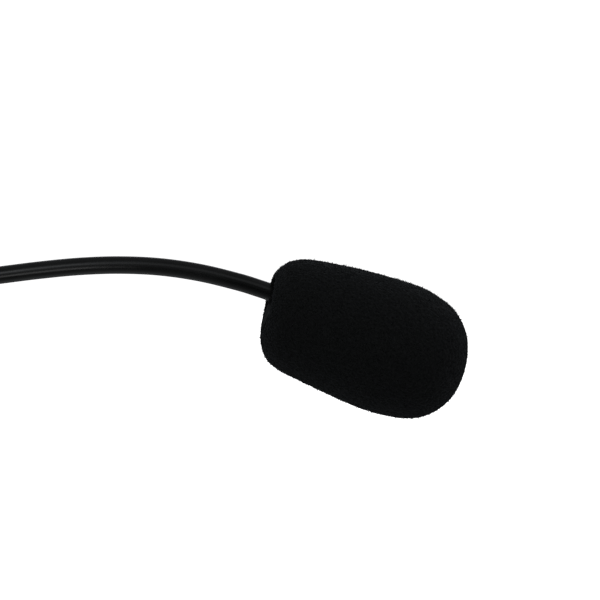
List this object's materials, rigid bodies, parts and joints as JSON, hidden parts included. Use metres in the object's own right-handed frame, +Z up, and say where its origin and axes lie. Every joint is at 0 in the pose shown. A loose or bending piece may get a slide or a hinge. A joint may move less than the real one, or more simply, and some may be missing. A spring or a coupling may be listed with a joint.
{
  "type": "headset microphone",
  "caption": "Behind-the-neck headset microphone with ear hooks, a bendable boom held in a swivelling clamp, and a capsule under a pull-off foam windscreen.",
  "frame": {"origin": "middle of the bounding box, on the surface that the headset stands on", "axes": "+X the way the wearer faces, +Y to the wearer's left, +Z up; the boom is on the wearer's right"},
  "size_m": [0.2484, 0.1704, 0.0782],
  "materials": {
    "foam": "matte",
    "boom_sleeve": "satin",
    "housing_plastic": "matte",
    "silicone": "matte",
    "rubber": "matte",
    "spring_steel": "satin",
    "black_metal": "satin",
    "brass": "satin",
    "board": "satin",
    "felt": "matte",
    "lead": "satin"
  },
  "bodies": {
    "band": {"nape_pad_inner": "silicone", "nape_pad_outer": "housing_plastic", "band_strip_centre": "spring_steel", "nape_screw_right": "spring_steel", "nape_screw_left": "spring_steel"},
    "right_leg": {"band_strip_right": "spring_steel", "band_sleeve_right": "rubber"},
    "left_leg": {"band_strip_left": "spring_steel", "band_sleeve_left": "rubber"},
    "right_ear_unit": {"right_ear_shell": "housing_plastic", "right_ear_cover": "housing_plastic", "right_cover_screw_lower": "spring_steel", "right_cover_screw_upper": "spring_steel", "right_slide_spring": "spring_steel", "pivot_friction_washer": "rubber", "pivot_spring_washer": "spring_steel"},
    "left_ear_unit": {"left_ear_shell": "housing_plastic", "left_ear_cover": "housing_plastic", "left_cover_screw_lower": "spring_steel", "left_cover_screw_upper": "spring_steel", "left_slide_spring": "spring_steel", "left_blanking_plug": "housing_plastic"},
    "right_hook": {"right_hook_knuckle": "housing_plastic", "right_hook_wire": "spring_steel", "right_hook_sleeve": "silicone", "right_hook_clip": "spring_steel"},
    "left_hook": {"left_hook_knuckle": "housing_plastic", "left_hook_wire": "spring_steel", "left_hook_sleeve": "silicone", "left_hook_clip": "spring_steel"},
    "boom_clamp": {"boom_clamp_body": "housing_plastic", "pivot_screw": "spring_steel"},
    "clamp_knob": {"clamp_knob": "housing_plastic", "clamp_stud": "brass"},
    "boom_1": {"boom_tube": "black_metal", "boom_gland": "rubber", "boom_collar": "black_metal", "boom_sleeve_1": "boom_sleeve", "boom_coil_1": "spring_steel", "mic_lead": "lead"},
    "boom_2": {"boom_sleeve_2": "boom_sleeve", "boom_coil_2": "spring_steel"},
    "boom_3": {"boom_sleeve_3": "boom_sleeve", "boom_coil_3": "spring_steel"},
    "boom_4": {"boom_sleeve_4": "boom_sleeve", "boom_coil_4": "spring_steel"},
    "boom_5": {"boom_sleeve_5": "boom_sleeve", "boom_coil_5": "spring_steel"},
    "boom_6": {"boom_sleeve_6": "boom_sleeve", "boom_coil_6": "spring_steel"},
    "boom_7": {"boom_sleeve_7": "boom_sleeve", "boom_coil_7": "spring_steel", "capsule_rear_cap": "housing_plastic", "capsule_housing": "black_metal", "capsule_grille": "black_metal", "capsule_felt": "felt", "electret_element": "brass", "capsule_shock_ring": "rubber", "capsule_board": "board"},
    "windscreen": {"windscreen_foam": "foam"}
  },
  "joints": [
    {"name": "right_band_flex", "type": "hinge", "parent": "band", "child": "right_leg", "pos_m": [-0.12016, -0.01995, 0.009], "axis": [0, 0, -1], "range_deg": [-2, 12], "stiffness_Nm_per_rad": 0.5},
    {"name": "left_band_flex", "type": "hinge", "parent": "band", "child": "left_leg", "pos_m": [-0.12016, 0.02945, 0.009], "axis": [0, 0, 1], "range_deg": [-2, 12], "stiffness_Nm_per_rad": 0.5},
    {"name": "right_ear_slide", "type": "slide", "parent": "right_leg", "child": "right_ear_unit", "axis": [1, 0, 0], "range_m": [0, 0.015]},
    {"name": "left_ear_slide", "type": "slide", "parent": "left_leg", "child": "left_ear_unit", "axis": [1, 0, 0], "range_m": [0, 0.015]},
    {"name": "right_hook_swivel", "type": "hinge", "parent": "right_ear_unit", "child": "right_hook", "pos_m": [-0.02821, -0.06975, 0.038], "axis": [0, 0, 1], "range_deg": [-20, 20]},
    {"name": "left_hook_swivel", "type": "hinge", "parent": "left_ear_unit", "child": "left_hook", "pos_m": [-0.02821, 0.07925, 0.038], "axis": [0, 0, -1], "range_deg": [-20, 20]},
    {"name": "boom_swivel", "type": "hinge", "parent": "right_ear_unit", "child": "boom_clamp", "pos_m": [-0.02821, -0.08125, 0.024], "axis": [0, 1, 0], "range_deg": [-60, 40]},
    {"name": "boom_slide", "type": "slide", "parent": "boom_clamp", "child": "boom_1", "axis": [0.9921, 0, 0.1251], "range_m": [-0.02, 0.008]},
    {"name": "clamp_knob_turn", "type": "hinge", "parent": "boom_clamp", "child": "clamp_knob", "pos_m": [-0.02896, -0.08125, 0.02995], "axis": [-0.1251, 0, 0.9921], "range_deg": [0, 180]},
    {"name": "boom_bend_up_1", "type": "hinge", "parent": "boom_1", "child": "boom_2", "pos_m": [0.01814, -0.08082, 0.02985], "axis": [0.0513, -0.9987, 0], "range_deg": [-15, 15], "deforming": ["mic_lead"]},
    {"name": "boom_bend_in_1", "type": "hinge", "parent": "boom_2", "child": "boom_3", "pos_m": [0.03043, -0.07996, 0.03142], "axis": [-0.1259, -0.0113, 0.992], "range_deg": [-15, 15]},
    {"name": "boom_bend_up_2", "type": "hinge", "parent": "boom_3", "child": "boom_4", "pos_m": [0.04268, -0.07862, 0.03299], "axis": [0.1273, -0.9919, 0], "range_deg": [-15, 15]},
    {"name": "boom_bend_in_2", "type": "hinge", "parent": "boom_4", "child": "boom_5", "pos_m": [0.05488, -0.07682, 0.03444], "axis": [-0.0921, -0.0154, 0.9956], "range_deg": [-15, 15]},
    {"name": "boom_bend_up_3", "type": "hinge", "parent": "boom_5", "child": "boom_6", "pos_m": [0.06707, -0.07454, 0.03487], "axis": [0.2027, -0.9792, 0], "range_deg": [-15, 15]},
    {"name": "boom_bend_in_3", "type": "hinge", "parent": "boom_6", "child": "boom_7", "pos_m": [0.07909, -0.07181, 0.03343], "axis": [0.1974, 0.0488, 0.9791], "range_deg": [-15, 15]},
    {"name": "windscreen_pull", "type": "slide", "parent": "boom_7", "child": "windscreen", "axis": [0.9067, 0.26, -0.3322], "range_m": [0, 0.026]}
  ],
  "couplings": [
    {"joint": "boom_bend_up_2", "follows": "boom_bend_up_1", "ratio": 1},
    {"joint": "boom_bend_in_2", "follows": "boom_bend_in_1", "ratio": 1},
    {"joint": "boom_bend_up_3", "follows": "boom_bend_up_1", "ratio": 1},
    {"joint": "boom_bend_in_3", "follows": "boom_bend_in_1", "ratio": 1}
  ]
}
